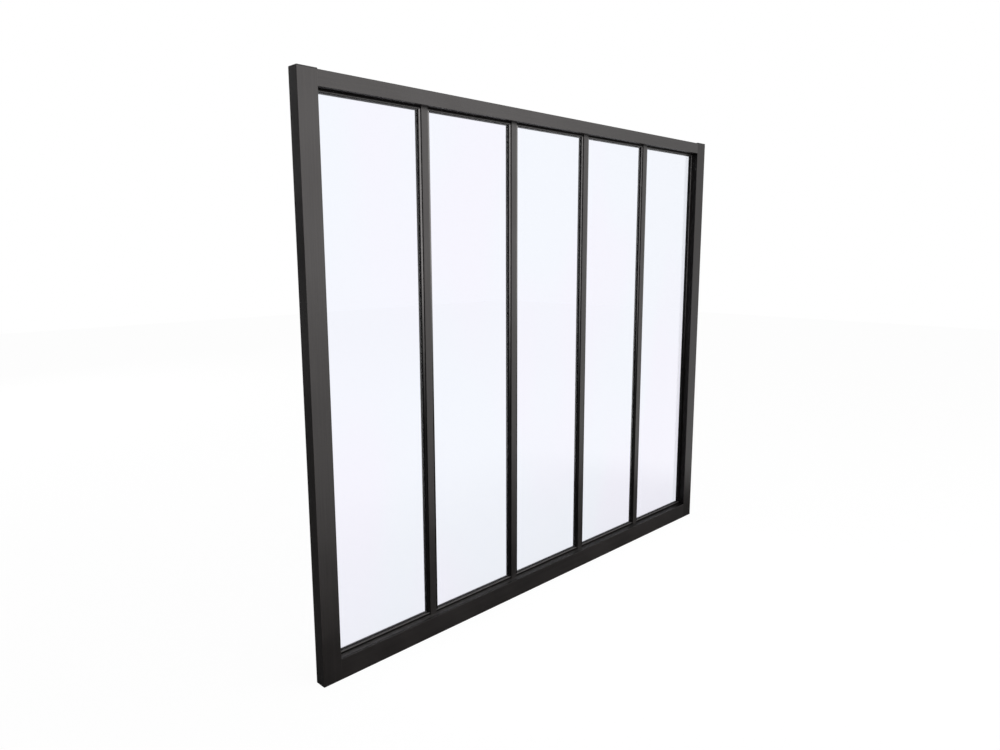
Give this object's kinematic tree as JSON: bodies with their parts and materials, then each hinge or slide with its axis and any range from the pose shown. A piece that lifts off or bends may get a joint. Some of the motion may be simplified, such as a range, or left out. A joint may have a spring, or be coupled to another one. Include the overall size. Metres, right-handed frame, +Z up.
{
  "type": "interior glass partition",
  "caption": "Fixed glazed interior partition with tall panes between slim mullions in a flat black metal frame.",
  "frame": {"origin": "middle of the underside of the bottom rail", "axes": "+X along the partition to the right as seen from the front, +Y from the front to the back, +Z up"},
  "size_m": [1.53, 0.03, 1.3],
  "materials": {
    "frame_coat": "satin black powder coat on aluminium",
    "bead_coat": "satin black powder coat on thin aluminium strip",
    "plug_plastic": "matt moulded black plastic",
    "clear_glass": "clear polished float glass"
  },
  "bodies": {
    "root": {"left_stile": "frame_coat", "right_stile": "frame_coat", "bottom_rail": "frame_coat", "head_rail": "frame_coat", "mullion_1": "frame_coat", "mullion_2": "frame_coat", "mullion_3": "frame_coat", "mullion_4": "frame_coat", "left_stile_foot_plug": "plug_plastic", "left_stile_top_plug": "plug_plastic", "right_stile_foot_plug": "plug_plastic", "right_stile_top_plug": "plug_plastic", "glass_pane_1": "clear_glass", "bay_1_top_bead": "bead_coat", "bay_1_bottom_bead": "bead_coat", "bay_1_left_bead": "bead_coat", "bay_1_right_bead": "bead_coat", "glass_pane_2": "clear_glass", "bay_2_top_bead": "bead_coat", "bay_2_bottom_bead": "bead_coat", "bay_2_left_bead": "bead_coat", "bay_2_right_bead": "bead_coat", "glass_pane_3": "clear_glass", "bay_3_top_bead": "bead_coat", "bay_3_bottom_bead": "bead_coat", "bay_3_left_bead": "bead_coat", "bay_3_right_bead": "bead_coat", "glass_pane_4": "clear_glass", "bay_4_top_bead": "bead_coat", "bay_4_bottom_bead": "bead_coat", "bay_4_left_bead": "bead_coat", "bay_4_right_bead": "bead_coat", "glass_pane_5": "clear_glass", "bay_5_top_bead": "bead_coat", "bay_5_bottom_bead": "bead_coat", "bay_5_left_bead": "bead_coat", "bay_5_right_bead": "bead_coat"}
  },
  "joints": []
}
